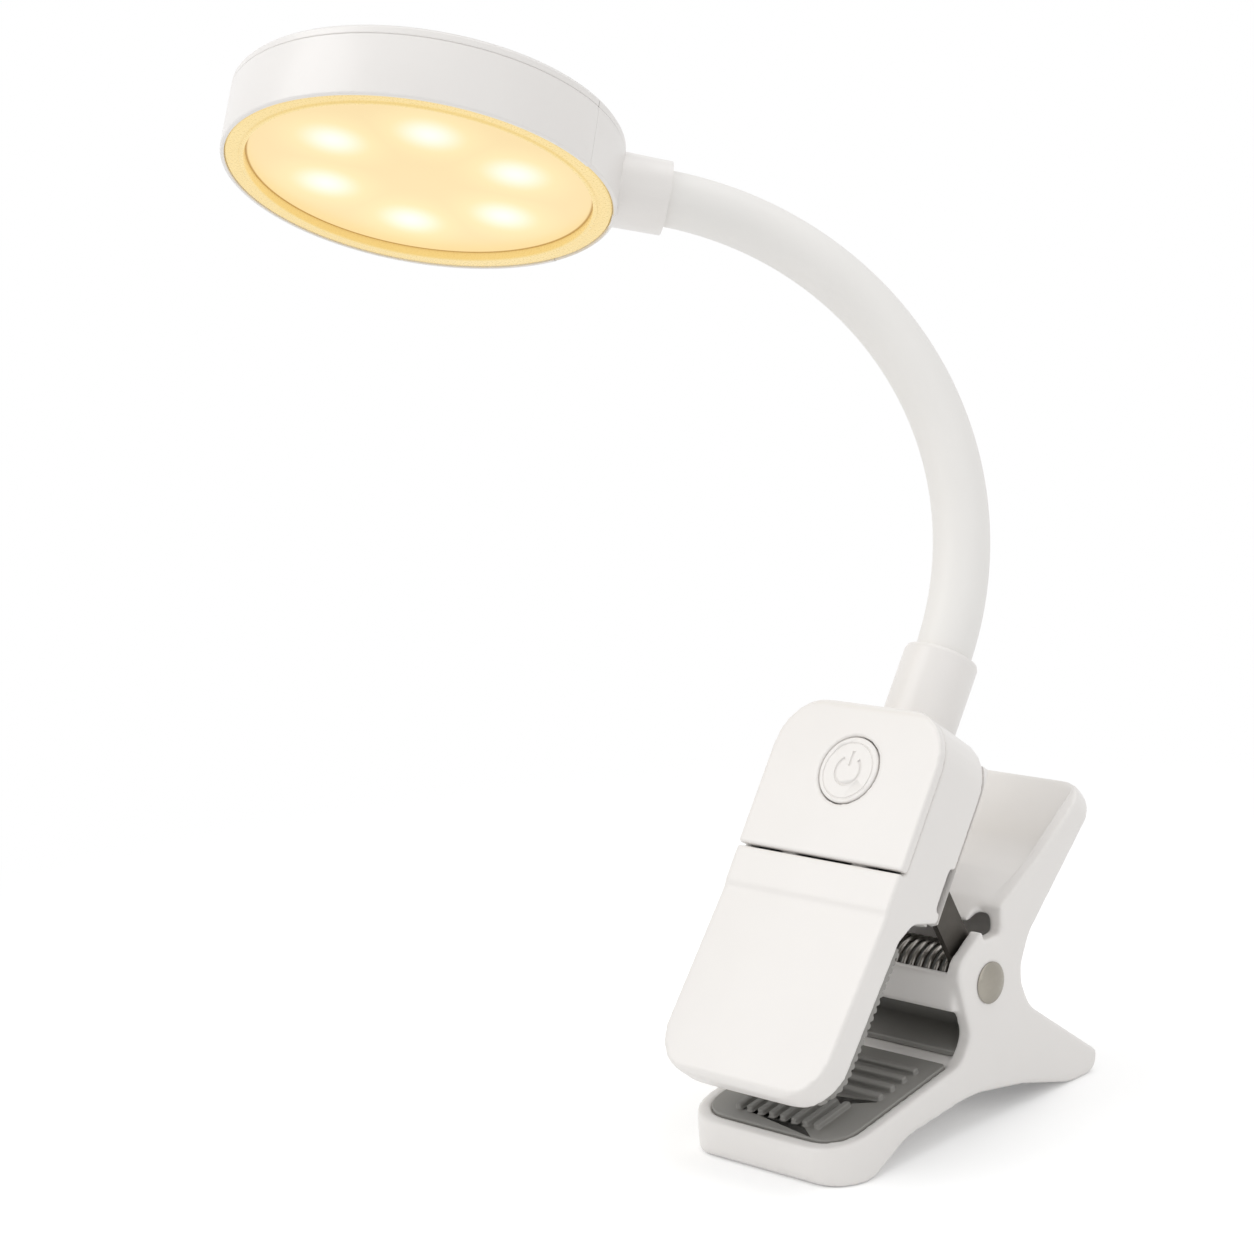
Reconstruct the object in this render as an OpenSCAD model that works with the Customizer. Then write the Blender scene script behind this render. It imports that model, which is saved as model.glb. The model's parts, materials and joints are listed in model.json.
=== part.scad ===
// Rechargeable clip-on reading lamp: sprung clip, control housing, bendable neck and round lamp head.
// Frame: the centre of the clip's front resting face is the origin, +Z is up, +X runs along the
// hinge pin, and the jaws point to -Y. Lengths are millimetres and angles are degrees.

/* [Clip] */
// Width of the clip and of the housing
clip_w = 38; // [30:0.5:50]
// Height of the hinge pin above the surface that the lamp stands on
pivot_z = 26; // [24:0.5:30]
// Distance of the hinge pin behind the middle of the front resting face
pivot_y = 38; // [36:0.5:42]
// Wall thickness of the clip's cheeks
cheek_t = 3; // [2:0.25:4]
// Wall thickness of the clip's back, shelf and handle
clip_wall = 2.6; // [2:0.2:3.2]
// Corner radius of the lower jaw seen from above
jaw_corner_r = 8.5; // [6:0.5:13]
// Corner radius of the handle's free end
handle_corner_r = 7; // [4:0.5:10]
// Width of the rim round the lower pad
pad_rim = 2.6; // [1.6:0.2:3.6]
// Slope of the lower jaw, rising towards the hinge
jaw_slope = 10; // [6:0.5:14]

// Length of the clip's handle from the hinge pin
handle_len = 44.5; // [40:0.5:48]
// Distance of the heel behind the hinge pin
heel_y = 32; // [30:0.5:36]

/* [Hinge] */
// Opening angle of the clip that the hinge allows
open_angle = 30; // [15:1:30]
// Radius of the hinge pin
pin_r = 1.8; // [1.2:0.1:2.2]
// Running clearance of the hinge pin, on the radius
pin_gap = 0.06; // [0.02:0.01:0.1]
// Radius of the pin's domed heads
pin_head_r = 3.9; // [3:0.1:4.5]
// Height of the pin's domed heads
pin_head_h = 1; // [0.6:0.1:1.6]
// Mean radius of the torsion spring's coils
spring_r = 5.5; // [5:0.1:6]
// Wire diameter of the torsion spring
spring_wire = 1.1; // [0.8:0.1:1.3]
// Thickness of the hinge bracket's sheet steel
bracket_t = 1.2; // [1:0.1:1.6]

/* [Housing] */
// Lean of the housing back from upright
house_lean = 35; // [30:1:38]
// Further lean of the upper jaw below the housing
jaw_lean = 4; // [0:0.5:6]
// Distance of the front groove ahead of the hinge pin
groove_fwd = 23.5; // [22:0.5:25]
// Height of the front groove above the hinge pin
groove_up = 26.3; // [25:0.1:28]
// Height of the housing above the front groove
house_h = 30; // [28:0.5:38]
// Depth of the housing's flat sides
house_d = 14.5; // [13.5:0.5:17]
// Depth of the housing at the crown of its rounded back
crown_d = 21.5; // [20.5:0.5:24]
// Wall thickness of the housing mouldings
house_wall = 2; // [1.6:0.2:2.4]
// Corner radius of the housing and the upper jaw seen from the front
house_corner_r = 10; // [7:0.5:12]
// Length of the upper jaw below the raised band
jaw_len = 36; // [30:0.5:40]
// Thickness of the upper jaw
jaw_t = 6; // [5.4:0.2:7]
// Height of the raised band between the groove and the upper jaw
band_h = 7; // [5:0.5:9]
// Width of the groove under the front panel
groove_w = 0.5; // [0.3:0.1:0.8]

/* [Button and board] */
// Radius of the power button
button_r = 6.3; // [5:0.1:8]
// Height of the power button's centre above the groove
button_z = 17; // [14:0.5:19]
// Clearance round the power button
button_gap = 0.2; // [0.15:0.05:0.3]
// Travel of the power button
button_travel = 0.5; // [0.3:0.1:0.6]
// Thickness of the circuit boards
board_t = 1.2; // [0.8:0.2:1.6]

/* [Pads] */
// Thickness of the rubber pads without their ribs
pad_t = 1.5; // [1.2:0.1:2]
// Height of the ribs on the rubber pads
rib_h = 1; // [0.6:0.1:1.4]
// Spacing of the ribs on the rubber pads
rib_pitch = 2.6; // [2:0.1:4]

/* [Neck] */
// Length of the neck between its two collars
neck_len = 115.5; // [100:1:130]
// Angle that the neck turns through at rest
neck_turn = 102; // [70:1:110]
// Share of the turn that is spread evenly along the neck
neck_even = 0.92; // [0.5:0.05:1]
// Turn of the neck's bending plane about the collar
neck_plane = 41; // [0:1:40]
// Outer radius of the neck sleeve
neck_r = 5.3; // [4.8:0.1:5.8]
// Inner radius of the neck sleeve
sleeve_bore_r = 3.4; // [3.2:0.1:3.6]
// Outer radius of the steel core's sockets
core_r = 3.1; // [2.9:0.1:3.2]
// Radius of the steel core's balls
ball_r = 2.2; // [2:0.05:2.3]
// Clearance of each ball in its socket, on the radius
ball_gap = 0.08; // [0.05:0.01:0.1]
// Radius of the two-core lead inside the neck
lead_r = 0.6; // [0.4:0.05:0.7]
// Outer radius of the collars
collar_r = 7; // [6.6:0.1:7.4]
// Visible height of the collar on the housing
collar_h = 15.5; // [10:0.5:18]
// Half angle of the wedge left between neighbouring neck segments
wedge = 14; // [10:1:18]

/* [Head] */
// Radius of the lamp head
head_r = 37; // [28:0.1:42]
// Thickness of the lamp head
head_t = 14; // [12:0.5:16]
// Wall thickness of the lamp head
head_wall = 1.8; // [1.4:0.1:2.2]
// Thickness of the back cover at its rim
back_t = 2.3; // [1.8:0.1:2.8]
// Width of the bezel ring
bezel_w = 3.4; // [2.4:0.1:4.4]
// Radius of the circle of light-emitting diodes
led_ring_r = 19.5; // [12:0.5:22]
// Visible length of the collar on the head
head_collar_h = 8.9; // [6:0.2:12]
// Roll of the head about the end of the neck
head_roll = 3.4; // [-20:0.2:20]
// Half angle of the saddle that joins the neck to the head
saddle_half = 38; // [25:1:50]

/* [Hidden] */
$fn = 64;

// --- shared lengths ---
fit_gap = 0.1;                                  // clearance between fixed pieces
seam = 0.05;                                    // hairline between mouldings that touch
inner_w = clip_w - 2 * cheek_t;                 // gap between the cheeks
foot_l = 7;                                     // length of the front resting face
tip_r = 2;                                      // rounding of the jaw tip
tip_h = 7;                                      // thickness of the lower jaw at its tip
tip_y = -pivot_y - foot_l / 2 - tip_r;          // front of the lower jaw, from the pin
tip_z = tip_h - pivot_z;                        // top of the lower jaw's tip, from the pin
pocket_d = pad_t - 0.2;                         // depth of the lower pad's pocket
shelf_lip = [0.7, 11.9];                        // front edge of the shelf over the spring, from the pin
shelf_back = [14.1, 16.4];                      // back edge of that shelf
handle_tilt = 42;                               // rise of the handle
handle_out = -4;                                // outer face of the handle, from the line through the pin
dish_p = handle_out + clip_wall + 0.2;          // floor of the handle's dish
liner_t = 1.2;                                  // thickness of the throat liner
crossbar = [[-8.6, -3.8], [-6.8, 3.3]];         // corners of the bar between the cheeks
ear_gap = 0.4;                                  // bracket ear to cheek
ear_x = inner_w / 2 - ear_gap - bracket_t / 2;  // middle of each bracket ear
ear_w = 6;                                      // width of a bracket ear
ear_turn = 27.8;                                // lean of the ears forward of upright
ear_len = 24;                                   // length of the ears from the pin
bush_r = 4.7;                                   // outer radius of the spring bush
step_in = 0.4;                                  // recess of the jaw below the raised band
house_bottom = -4.2;                            // underside of the housing box, from the groove
crown_R = (pow(clip_w / 2, 2) + pow(crown_d - house_d, 2)) / (2 * (crown_d - house_d));
collar_d = house_d;                             // depth of the neck's axis in the housing
collar_in = 6;                                  // length of the lower collar inside the housing
lug_x = 10.5;                                   // reach of the collar's lugs to each side
button_t = 2.1;                                 // thickness of the button cap
flange_t = 0.6;                                 // thickness of the button's flange
board_y = 6;                                    // front face of the control board
switch_h = 2;                                   // height of the tactile switch
socket = [7.4, 3.2, 9];                         // charging socket along X, through the board, and along the side
socket_z = 3;                                   // lower end of the charging socket
socket_in = 0.5;                                // setback of the socket from the side wall
lower_screw = [8, -0.6];                        // x and height of the lower rear screws
upper_screw = [clip_w / 2 - house_wall - 2.2, 20];
screw_r = 0.95;                                 // radius of the screws' shanks
boss_r = 2.4;                                   // radius of the screw bosses
web_y = 13.2;                                   // front face of the bracket's web
tooth_pitch = 1.5;                              // spacing of the upper pad's teeth
tooth_r = 0.55;                                 // radius of the upper pad's teeth

// --- neck chain ---
joints = 9;                                     // bending points along the neck
links = joints - 1;
link_l = neck_len / joints;                     // length between neighbouring bending points
stem_r = 1.35;                                  // radius of the core's stems
mouth = 0.9;                                    // height of each socket's mouth past its centre
sleeve_in = 5;                                  // length of the end sleeves inside their collars
function bend(u) = neck_turn * (neck_even * u + (1 - neck_even) * (1 - cos(180 * u)) / 2);
function heading(i) = bend(i / joints);         // direction of link i, 0 and joints are the end stubs
function aim(a) = [sin(a), cos(a)];
bend_at = [for (i = 1, p = [0, link_l / 2]; i <= joints; p = p + link_l * aim(heading(i)), i = i + 1) p];
neck_end = bend_at[joints - 1] + link_l / 2 * aim(neck_turn);

// --- head ---
half_t = head_t / 2;
bezel_t = 1.6;                                  // depth of the bezel ring
bezel_out = head_r - 0.85;                      // outer radius of the bezel ring
bezel_in = bezel_out - bezel_w - 0.2;           // inner radius of the bezel ring
board_z = 0.7;                                  // front face of the diode board
diode = [3.5, 2.8, 0.8];                        // size of one light-emitting diode
diodes = 6;
screw_l = 3.4;                                  // length of the board screws' shanks
post_ring_r = 26;                               // radius of the circle of board screws
saddle_reach = 6;                               // width of the saddle over the back cover
diffuser_t = 1.4;                               // thickness of the diffuser

// --- outlines ---
// Corner rounding: each point is [x, y, radius]; a missing or zero radius keeps the corner sharp
function unit(v) = v / norm(v);
function flat(p) = [p.x, p.y];
function arc(a, b, c, r, n) = is_undef(r) || r == 0 ? [b] :
    let (u = unit(a - b), w = unit(c - b), half = acos(u * w) / 2, m = b + unit(u + w) * r / sin(half),
         t1 = b + u * r / tan(half) - m, t2 = b + w * r / tan(half) - m, a1 = atan2(t1.y, t1.x),
         turn = (atan2(t2.y, t2.x) - a1 + 540) % 360 - 180)
    [for (k = [0 : n]) m + r * [cos(a1 + turn * k / n), sin(a1 + turn * k / n)]];
function rounded(p, n = 6) = [for (i = [0 : len(p) - 1])
    each arc(flat(p[(i + len(p) - 1) % len(p)]), flat(p[i]), flat(p[(i + 1) % len(p)]), p[i][2], n)];
// A path moved sideways by d, to the left of its direction
function beside(p, d) = [for (i = [0 : len(p) - 1])
    let (a = unit(flat(p[max(i, 1)]) - flat(p[max(i, 1) - 1])), k = min(i + 1, len(p) - 1),
         b = unit(flat(p[k]) - flat(p[k - 1])), n = unit([-(a + b).y, (a + b).x]))
    flat(p[i]) + n * d / (n * [-a.y, a.x])];

function jaw_top(y) = tip_z + (y - tip_y) * tan(jaw_slope);
function on_handle(a, p, r = 0) = [a * cos(handle_tilt) - p * sin(handle_tilt),
    a * sin(handle_tilt) + p * cos(handle_tilt), r];
function jaw_point(d, l, r = 0) = [(d + step_in) * cos(jaw_lean) - l * sin(jaw_lean),
    -band_h - (d + step_in) * sin(jaw_lean) - l * cos(jaw_lean), r];

// Side view of the clip, from the pin: y, z, radius
clip_side = [
    [tip_y, -pivot_z, tip_r], [-pivot_y + foot_l / 2, -pivot_z, 8], [-25, 4.6 - pivot_z, 14],
    [-6, 6.6 - pivot_z, 30], [9, 4 - pivot_z, 20], [heel_y - 9, -pivot_z, 6], [heel_y - 1, -pivot_z, 2.4],
    [heel_y, 3.8 - pivot_z, 1.2], [12, -7.8, 6], [8.8, -1, 7], on_handle(13.4, handle_out, 8),
    on_handle(handle_len, handle_out, 1.6), on_handle(handle_len, handle_out + 4.4, 1.4),
    on_handle(25, 3.4, 14), [-1.6, 9.7, 8], [-9.4, 4.8, 4], [-5.9, -8.6, 3.5], [-9, jaw_top(-9), 3],
    [tip_y, tip_z, 1.4]];
// Hollow between the cheeks: throat, spring space and the opening in front of the shelf
throat_back = [[-9, jaw_top(-9)], [3.4, jaw_top(3.4)], [6.2, -1], flat(on_handle(13, -1.4))];
throat = [[-9, jaw_top(-9), 0], [3.4, jaw_top(3.4), 4], [6.3, -1, 7], on_handle(13.2, -1.4, 5),
    on_handle(18.6, -1.4, 1.5), [12.4, 13.6, 2], [shelf_lip.x, shelf_lip.y - 2, 0.6],
    [shelf_lip.x, 40, 0], [-60, 40, 0], [-60, jaw_top(-60), 0]];
// Dish in the handle, above the shelf
dish = [[shelf_lip.x, shelf_lip.y, 0.6], [shelf_back.x, shelf_back.y, 2], on_handle(27, dish_p, 12),
    on_handle(60, dish_p + 0.4, 0), on_handle(60, 30, 0), [shelf_lip.x, 60, 0]];
// Core of the heel, open below
heel_core = [[5.5, -60, 0], [5.5, -17.4, 2], [11.6, -11.6, 2], [heel_y - 3.6, 3.4 - pivot_z, 1],
    [heel_y - 3.6, -60, 0]];
// Side view of the upper moulding, in the housing's frame: depth, height, radius
house_side = [[0, house_h, 1.4], [house_d, house_h, 0], [house_d, house_bottom, 0], [jaw_t + 2.4, -6.6, 2.4],
    jaw_point(jaw_t, 3.2, 2), jaw_point(jaw_t, jaw_len, 1), jaw_point(0, jaw_len, 1.4),
    jaw_point(0, 0.8, 0.4), [0, -band_h, 0.4]];

// --- frames ---
module at_pivot() translate([0, pivot_y, pivot_z]) children();
module in_house() at_pivot() translate([0, -groove_fwd, groove_up]) rotate([-house_lean, 0, 0]) children();
module in_jaw() in_house() translate([0, 0, -band_h]) rotate([-jaw_lean, 0, 0]) translate([0, step_in, 0])
    children();
module in_lower_jaw() at_pivot() translate([0, tip_y, tip_z]) rotate([jaw_slope, 0, 0]) children();
module in_neck() in_house() translate([0, collar_d, house_h + collar_h]) rotate([0, 0, -90 - neck_plane])
    children();
module in_link(i) in_neck() translate([bend_at[i - 1].x, 0, bend_at[i - 1].y]) rotate([0, heading(i), 0])
    children();
module in_head() in_neck() translate([neck_end.x, 0, neck_end.y]) rotate([0, neck_turn, 0])
    rotate([0, 0, head_roll]) translate([0, 0, head_r + head_collar_h]) rotate([0, -90, 0]) rotate([0, 0, 180])
    children();
// A side view, drawn as y and z, made into a solid of width w about the middle
module across(w) rotate([90, 0, 90]) translate([0, 0, -w / 2]) linear_extrude(w) children();
module along_y() rotate([-90, 0, 0]) children();
module along_x() rotate([0, 90, 0]) children();
module both_sides() for (s = [-1, 1]) scale([s, 1, 1]) children();

// --- clip ---
module jaw_plan() {
    w = clip_w / 2;
    back = 120;
    translate([0, 0, -60]) linear_extrude(160)
        polygon(rounded([[-w, tip_y, jaw_corner_r], [w, tip_y, jaw_corner_r], [w, back, 0], [-w, back, 0]]));
}
module handle_plan() {
    w = clip_w / 2;
    rotate([handle_tilt, 0, 0]) translate([0, 0, -90]) linear_extrude(180)
        polygon(rounded([[-w, -90, 0], [w, -90, 0], [w, handle_len, handle_corner_r],
            [-w, handle_len, handle_corner_r]]));
}
module pad_pocket(inset, d, h) {
    w = clip_w / 2 - pad_rim - inset;
    r = jaw_corner_r - pad_rim - inset;
    translate([0, 0, d]) linear_extrude(h)
        polygon(rounded([[-w, pad_rim + inset, r], [w, pad_rim + inset, r], [w, 34 - inset, 1], [-w, 34 - inset, 1]]));
}
module lower_clip() color("whitesmoke") difference() {
    at_pivot() union() {
        intersection() {
            difference() {
                across(clip_w) polygon(rounded(clip_side));
                across(inner_w) polygon(rounded(throat));
                across(inner_w) polygon(rounded(dish));
                across(inner_w) polygon(rounded(heel_core));
                both_sides() translate([ear_x - bracket_t / 2 - 0.6, -1, 8]) cube([inner_w, 5.2, 7]);
            }
            jaw_plan();
            handle_plan();
        }
        translate([-inner_w / 2 - 1, crossbar[0].x, crossbar[0].y])
            cube([inner_w + 2, crossbar[1].x - crossbar[0].x, crossbar[1].y - crossbar[0].y]);
    }
    at_pivot() along_x() cylinder(r = pin_r + 0.03, h = clip_w + 2, center = true);
    in_lower_jaw() pad_pocket(0, -pocket_d, 10);
}
module lower_pad() color("dimgray") in_lower_jaw() {
    w = clip_w / 2 - pad_rim - 3;
    pad_pocket(fit_gap, -pocket_d, pad_t);
    front_n = floor(2 * (w - 4) / rib_pitch);
    for (k = [0 : front_n])
        translate([(k - front_n / 2) * rib_pitch - 0.6, pad_rim + 3, pad_t - pocket_d - 0.2])
            cube([1.2, 9, rib_h + 0.2]);
    for (y = [18 : rib_pitch * 1.3 : 31])
        translate([-w, y, pad_t - pocket_d - 0.2]) cube([2 * w, 1.4, rib_h + 0.2]);
}
module throat_liner() color("dimgray") at_pivot() {
    run = [[-7.4, jaw_top(-7.4)], [3.2, jaw_top(3.2)], [5.0, -5.6]];
    near = beside(run, fit_gap);
    far = beside(run, fit_gap + liner_t);
    across(inner_w - 2 * fit_gap) polygon(rounded([near[0], [near[1].x, near[1].y, 3.6], near[2], far[2],
        [far[1].x, far[1].y, 2.4], far[0]]));
}

// --- hinge ---
module dome(r, h) rotate_extrude() polygon(concat([[0, 0]],
    [for (k = [0 : 8]) [r * cos(11.25 * k), h * sin(11.25 * k)]]));
module pivot_pin() color("silver") at_pivot() {
    along_x() cylinder(r = pin_r, h = clip_w + 1, center = true);
    translate([clip_w / 2 + seam, 0, 0]) along_x() dome(pin_head_r, pin_head_h);
}
module pin_cap() color("silver") at_pivot() difference() {
    translate([-clip_w / 2 - seam, 0, 0]) rotate([0, -90, 0]) dome(pin_head_r, pin_head_h);
    along_x() cylinder(r = pin_r + 0.03, h = clip_w + 1.06, center = true);
}
module spring_bush() color("gray") at_pivot() along_x() difference() {
    cylinder(r = bush_r, h = 2 * ear_x - bracket_t - 2 * fit_gap, center = true);
    cylinder(r = pin_r + pin_gap, h = clip_w, center = true);
}
module spring_leg(x, turn, l) translate([x, 0, 0]) rotate([turn, 0, 0]) translate([0, 0, spring_r])
    rotate([90, 0, 0]) cylinder(d = spring_wire, h = l);
module torsion_spring() color("silver") at_pivot() {
    coil_l = 2 * ear_x - bracket_t - 2;
    along_x() difference() {
        cylinder(r = spring_r + spring_wire / 2, h = coil_l, center = true);
        cylinder(r = spring_r - spring_wire / 2, h = coil_l + 2, center = true);
    }
    spring_leg(-coil_l / 2 + 1.5, -45, 12.6);
    spring_leg(coil_l / 2 - 1.5, -116.4, 15);
}
// One ear of the hinge bracket in side view, from the pin
module ear_outline(grow) {
    rotate(ear_turn) translate([-ear_w / 2 - grow, 0]) square([ear_w + 2 * grow, ear_len]);
    circle(r = ear_w / 2 + 1 + grow);
}
module hinge_bracket() color("slategray") {
    difference() {
        at_pivot() both_sides() translate([ear_x, 0, 0]) across(bracket_t) ear_outline(0);
        at_pivot() along_x() cylinder(r = pin_r + pin_gap, h = clip_w, center = true);
        in_house() translate([-clip_w / 2, web_y - 20, -20]) cube([clip_w, 20, 60]);
    }
    in_house() difference() {
        translate([-ear_x, web_y, house_bottom + house_wall + fit_gap]) cube([2 * ear_x, bracket_t, 7]);
        both_sides() translate([lower_screw.x, 0, lower_screw.y]) along_y() cylinder(r = screw_r + 0.15, h = 40);
    }
}

// --- housing ---
module house_plan(inset, low, d0, d1) {
    w = clip_w / 2 - inset;
    r = house_corner_r - inset;
    translate([0, d1, 0]) rotate([90, 0, 0]) linear_extrude(d1 - d0)
        polygon(rounded([[-w, house_h - inset, r], [-w, low, 0], [w, low, 0], [w, house_h - inset, r]]));
}
module jaw_plan_up(inset, d0, d1, l0 = -20) {
    w = clip_w / 2 - inset;
    r = jaw_corner_r - inset;
    l = jaw_len - inset;
    translate([0, d1, 0]) rotate([90, 0, 0]) linear_extrude(d1 - d0)
        polygon(rounded([[-w, -l, r], [w, -l, r], [w, -l0, 0], [-w, -l0, 0]]));
}
module screw_bosses(d0, d1, r) both_sides() for (p = [lower_screw, upper_screw])
    translate([p.x, d0, p.y]) along_y() cylinder(r = r, h = d1 - d0);
module socket_shape(grow, l) along_x() {
    r = socket.y / 2 + grow;
    h = socket.z / 2 - socket.y / 2;
    for (z = [-h, h]) translate([-z, 0, 0]) cylinder(r = r, h = l);
    translate([-h, -r, 0]) cube([2 * h, 2 * r, l]);
}
module at_socket() translate([-clip_w / 2, board_y + board_t + socket.y / 2, socket_z + socket.z / 2]) children();
module collar_hole() translate([0, collar_d, house_h - collar_in - 0.3]) cylinder(r = collar_r + fit_gap, h = 20);
module upper_body() color("whitesmoke") difference() {
    union() {
        difference() {
            intersection() {
                in_house() across(clip_w) polygon(rounded(house_side));
                in_house() house_plan(0, -100, -5, 40);
                in_jaw() jaw_plan_up(0, -10, 60, -80);
            }
            in_house() translate([-clip_w, -5, 0]) cube([2 * clip_w, 5 + house_wall, 60]);
            in_house() house_plan(house_wall, house_bottom + house_wall, house_wall, 40);
            in_jaw() intersection() {
                jaw_plan_up(house_wall, house_wall, 60, 4);
                translate([-clip_w, -5, -100]) cube([2 * clip_w, 100, 96]);
            }
        }
        in_house() intersection() {
            union() {
                screw_bosses(board_y + board_t + 0.4, house_d, boss_r);
                both_sides() translate([lower_screw.x, house_wall, lower_screw.y]) along_y()
                    cylinder(r = boss_r, h = web_y - house_wall - fit_gap);
            }
            house_plan(0.5, house_bottom + 0.5, house_wall, house_d);
        }
    }
    in_house() {
        translate([-20, web_y - fit_gap, house_bottom + house_wall]) cube([40, 20, 8]);
        screw_bosses(web_y - 7, 60, screw_r + 0.05);
        collar_hole();
        at_socket() translate([-1, 0, 0]) socket_shape(0.15, 6);
        }
}
module front_panel() color("white") in_house() difference() {
    intersection() {
        across(clip_w) polygon(rounded(house_side));
        house_plan(0, -100, -5, 40);
        translate([-clip_w, -1, groove_w]) cube([2 * clip_w, 1 + house_wall - seam, 60]);
    }
    translate([0, -1, button_z]) along_y() cylinder(r = button_r + button_gap, h = 10);
}
module crown(inset, top) {
    r = crown_R - inset;
    intersection() {
        translate([0, crown_d - crown_R, house_bottom + inset]) cylinder(r = r, h = house_h, $fn = 180);
        across(clip_w) polygon(rounded([[house_d + (inset == 0 ? seam : -1), top, 0],
            [crown_d - inset, top, 6 - inset], [crown_d - inset, house_bottom + inset, 3],
            [house_d + (inset == 0 ? seam : -1), house_bottom + inset, 0]]));
        house_plan(inset, house_bottom + inset, house_d - 2, 60);
    }
}
module rear_cover() color("whitesmoke") in_house() difference() {
    union() {
        difference() {
            crown(0, house_h);
            crown(house_wall, house_h - house_wall);
        }
        intersection() {
            screw_bosses(web_y + bracket_t + seam, 60, boss_r);
            crown(0.2, house_h - 0.2);
            translate([-50, house_d + seam, -50]) cube(100);
        }
    }
    screw_bosses(0, 60, screw_r + 0.15);
    both_sides() translate([lower_screw.x, crown_d - 2.2, lower_screw.y]) along_y() cylinder(r = 1.9, h = 10);
    both_sides() translate([upper_screw.x, house_d + 1.4, upper_screw.y]) along_y() cylinder(r = 1.9, h = 10);
    collar_hole();
    both_sides() translate([ear_x - bracket_t / 2 - 0.3, 0, house_bottom - 1]) cube([bracket_t + 0.6, 40, 12]);
}
module screw(l, head_r = 1.7, head_h = 1) {
    cylinder(r = screw_r, h = l);
    translate([0, 0, -head_h]) cylinder(r = head_r, h = head_h);
}
module rear_screws() color("silver") in_house() both_sides() {
    translate([lower_screw.x, crown_d - 2.2 + seam, lower_screw.y]) rotate([90, 0, 0]) screw(9);
    translate([upper_screw.x, house_d + 1.4 + seam, upper_screw.y]) rotate([90, 0, 0]) screw(6);
}
module jaw_plate() color("gainsboro") in_jaw() intersection() {
    jaw_plan_up(house_wall + fit_gap, jaw_t - 1.4, jaw_t, 4 + fit_gap);
    translate([-clip_w, 0, -100]) cube([2 * clip_w, 20, 96 - fit_gap]);
}
module upper_pad() color("dimgray") in_jaw() intersection() {
    union() {
        translate([-clip_w, jaw_t + seam, -100]) cube([2 * clip_w, pad_t, 100]);
        for (l = [5 : tooth_pitch : jaw_len - 1.6])
            translate([0, jaw_t + pad_t, -l]) along_x() cylinder(r = tooth_r, h = 2 * clip_w, center = true, $fn = 16);
    }
    jaw_plan_up(1, 0, 20, 4);
    translate([-clip_w, 0, -100]) cube([2 * clip_w, 20, 96]);
}

// --- electrics ---
module power_button() color("white") in_house() translate([0, 0, button_z]) along_y() {
    cylinder(r = button_r, h = button_t);
    translate([0, 0, house_wall + 0.1]) cylinder(r = button_r + 0.9, h = flange_t);
    cylinder(r = 1.6, h = board_y - switch_h - button_travel - 0.1);
}
module tact_switch() color("silver") in_house()
    translate([-3, board_y - switch_h, button_z - 3]) cube([6, switch_h - seam, 6]);
module control_board() color("darkgreen") in_house() {
    translate([-12.6, board_y, 2.2]) cube([25.2, board_t, 21.8]);
    translate([-clip_w / 2 + house_wall + 0.4, board_y, 2.4]) cube([clip_w / 2 - house_wall - 2, board_t, 10.6]);
}
module charging_socket() color("silver") in_house() at_socket() difference() {
    translate([socket_in, 0, 0.01]) socket_shape(-0.02, socket.x);
    translate([socket_in - 1, 0, 0]) socket_shape(-0.34, socket.x - 1);
}
module battery() color("royalblue") in_house() {
    left = -clip_w / 2 + socket_in + socket.x + 0.6;
    translate([left, board_y + board_t + 0.3, 2.2]) cube([upper_screw.x - boss_r - 0.2 - left, 5.2, 18.5]);
}

// --- neck ---
module lower_collar() color("white") in_neck() {
    low = -collar_h - collar_in;
    rotate_extrude() polygon([[sleeve_bore_r + seam, low], [collar_r, low], [collar_r, -0.8], [collar_r - 0.3, 0],
        [neck_r + seam, 0], [neck_r + seam, -sleeve_in], [sleeve_bore_r + seam, -sleeve_in]]);
    rotate([0, 0, 90 + neck_plane]) both_sides() translate([collar_r - 1, -1.4, low + 0.3])
        cube([lug_x - collar_r + 1, 2.4, collar_in - house_wall - seam - 0.3]);
}
// Steel core: a ball at the start of the link and a socket round the next ball
module core_socket(l) difference() {
    translate([0, 0, l]) sphere(r = core_r);
    translate([0, 0, l]) sphere(r = ball_r + ball_gap);
    translate([-10, -10, l + mouth]) cube(20);
}
module lead_bore(l) translate([0, 0, -30]) cylinder(r = lead_r + 0.15, h = l + 60);
module neck_core(i) color("silver") in_link(i) difference() {
    union() {
        sphere(r = ball_r);
        cylinder(r = stem_r, h = link_l - ball_r - 0.4);
        core_socket(link_l);
    }
    lead_bore(link_l);
}
module sleeve(z0, z1, wedge0, wedge1) {
    t = tan(wedge);
    rotate_extrude() polygon([[sleeve_bore_r, z0 + wedge0 * sleeve_bore_r * t], [neck_r, z0 + wedge0 * neck_r * t],
        [neck_r, z1 - wedge1 * neck_r * t], [sleeve_bore_r, z1 - wedge1 * sleeve_bore_r * t]]);
}
module neck_sleeve(i) color("white") {
    if (i == 0) in_neck() sleeve(-sleeve_in + seam, link_l / 2, 0, 1);
    else if (i == joints) in_link(joints) sleeve(0, link_l / 2 + sleeve_in - seam, 1, 0);
    else in_link(i) sleeve(0, link_l, 1, 1);
}
module neck_lead(i) color("firebrick") {
    low = 0.3 - ball_r;
    high = link_l - ball_r - 0.4;
    if (i == 0) in_neck() translate([0, 0, -collar_h - collar_in - 2])
        cylinder(r = lead_r, h = collar_h + collar_in + 2 + high - link_l / 2);
    else in_link(i) translate([0, 0, low])
        cylinder(r = lead_r, h = (i == joints ? link_l / 2 + head_collar_h + 1.5 : high) - low);
}
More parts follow.
